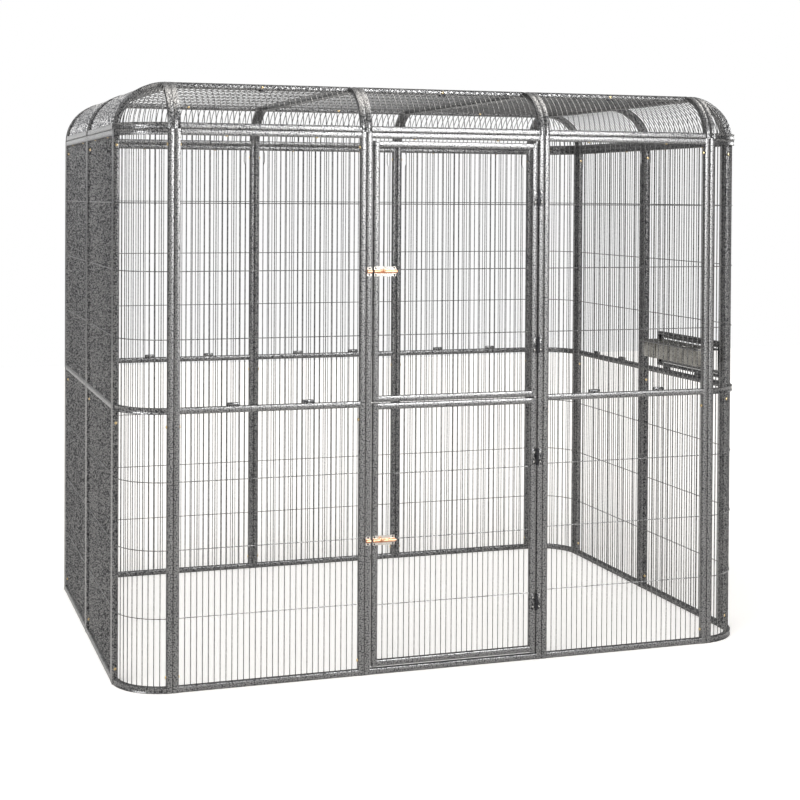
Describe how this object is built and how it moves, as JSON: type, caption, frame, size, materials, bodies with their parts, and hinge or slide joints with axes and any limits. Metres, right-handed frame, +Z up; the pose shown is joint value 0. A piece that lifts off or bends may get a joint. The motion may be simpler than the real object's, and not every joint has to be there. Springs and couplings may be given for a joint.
{
  "type": "walk-in aviary",
  "caption": "Walk-in bird aviary of bolted barred wall panels with rounded corners and eaves, a split stable door with bolts, and a swing-out feeder rack with lift-out cups.",
  "frame": {"origin": "on the floor, in the middle of the wall panels' footprint", "axes": "+X towards the feeder's side, along the wide front; +Y from the door to the back; +Z up"},
  "size_m": [2.2543, 1.6335, 1.948],
  "materials": {
    "hammertone_paint": "glossy silver and black hammertone powder coat",
    "zinc_steel": "yellow-passivated zinc, satin",
    "nickel_plate": "bright nickel plate",
    "copper_rod": "polished copper-toned plate",
    "stainless_steel": "pressed stainless sheet, bright"
  },
  "bodies": {
    "cage": {"wall_front_left": "hammertone_paint", "wall_front_right": "hammertone_paint", "wall_right_front": "hammertone_paint", "wall_right_back": "hammertone_paint", "wall_back_right": "hammertone_paint", "wall_back_middle": "hammertone_paint", "wall_back_left": "hammertone_paint", "wall_left_back": "hammertone_paint", "wall_left_front": "hammertone_paint", "door_surround": "hammertone_paint", "corner_front_right": "hammertone_paint", "corner_back_right": "hammertone_paint", "corner_back_left": "hammertone_paint", "corner_front_left": "hammertone_paint", "eave_front_left": "hammertone_paint", "eave_front_middle": "hammertone_paint", "eave_front_right": "hammertone_paint", "eave_right_front": "hammertone_paint", "eave_right_back": "hammertone_paint", "eave_back_right": "hammertone_paint", "eave_back_middle": "hammertone_paint", "eave_back_left": "hammertone_paint", "eave_left_back": "hammertone_paint", "eave_left_front": "hammertone_paint", "dome_front_right": "hammertone_paint", "dome_back_right": "hammertone_paint", "dome_back_left": "hammertone_paint", "dome_front_left": "hammertone_paint", "roof_left": "hammertone_paint", "roof_middle": "hammertone_paint", "roof_right": "hammertone_paint", "upper_door_hinge_top_post_leaf": "hammertone_paint", "upper_door_hinge_top_pin": "zinc_steel", "upper_door_hinge_bottom_post_leaf": "hammertone_paint", "upper_door_hinge_bottom_pin": "zinc_steel", "lower_door_hinge_top_post_leaf": "hammertone_paint", "lower_door_hinge_top_pin": "zinc_steel", "lower_door_hinge_bottom_post_leaf": "hammertone_paint", "lower_door_hinge_bottom_pin": "zinc_steel", "feeder_hinge_post_leaf": "hammertone_paint", "feeder_hinge_pin": "zinc_steel", "upper_bolt_keeper": "nickel_plate", "lower_bolt_keeper": "nickel_plate"},
    "upper_door": {"upper_door": "hammertone_paint", "upper_door_hinge_top_door_leaf": "hammertone_paint", "upper_door_hinge_bottom_door_leaf": "hammertone_paint", "upper_bolt_body": "nickel_plate"},
    "lower_door": {"lower_door": "hammertone_paint", "lower_door_hinge_top_door_leaf": "hammertone_paint", "lower_door_hinge_bottom_door_leaf": "hammertone_paint", "lower_bolt_body": "nickel_plate"},
    "upper_bolt": {"upper_bolt_rod": "copper_rod"},
    "lower_bolt": {"lower_bolt_rod": "copper_rod"},
    "feeder_door": {"feeder_door": "hammertone_paint", "feeder_hinge_door_leaf": "hammertone_paint"},
    "feeder_latch": {"feeder_latch": "zinc_steel"},
    "feeder_cup_1": {"feeder_cup_1": "stainless_steel"},
    "feeder_cup_2": {"feeder_cup_2": "stainless_steel"},
    "feeder_cup_3": {"feeder_cup_3": "stainless_steel"},
    "feeder_cup_4": {"feeder_cup_4": "stainless_steel"}
  },
  "joints": [
    {"name": "upper_door_swing", "type": "hinge", "parent": "cage", "child": "upper_door", "pos_m": [0.29485, -0.8098, 1.3275], "axis": [0, 0, 1], "range_deg": [0, 165]},
    {"name": "lower_door_swing", "type": "hinge", "parent": "cage", "child": "lower_door", "pos_m": [0.29485, -0.8098, 0.446], "axis": [0, 0, 1], "range_deg": [0, 165]},
    {"name": "upper_bolt_throw", "type": "slide", "parent": "upper_door", "child": "upper_bolt", "axis": [-1, 0, 0], "range_m": [0, 0.022]},
    {"name": "lower_bolt_throw", "type": "slide", "parent": "lower_door", "child": "lower_bolt", "axis": [-1, 0, 0], "range_m": [0, 0.022]},
    {"name": "feeder_door_swing", "type": "hinge", "parent": "cage", "child": "feeder_door", "pos_m": [1.1273, -0.60335, 0.9845], "axis": [0, 0, -1], "range_deg": [0, 110]},
    {"name": "feeder_latch_turn", "type": "hinge", "parent": "cage", "child": "feeder_latch", "pos_m": [1.1226, -0.13685, 0.9845], "axis": [-1, 0, 0], "range_deg": [0, 90]},
    {"name": "feeder_cup_1_lift", "type": "slide", "parent": "feeder_door", "child": "feeder_cup_1", "axis": [0, 0, 1], "range_m": [0, 0.075]},
    {"name": "feeder_cup_2_lift", "type": "slide", "parent": "feeder_door", "child": "feeder_cup_2", "axis": [0, 0, 1], "range_m": [0, 0.075]},
    {"name": "feeder_cup_3_lift", "type": "slide", "parent": "feeder_door", "child": "feeder_cup_3", "axis": [0, 0, 1], "range_m": [0, 0.075]},
    {"name": "feeder_cup_4_lift", "type": "slide", "parent": "feeder_door", "child": "feeder_cup_4", "axis": [0, 0, 1], "range_m": [0, 0.075]}
  ]
}
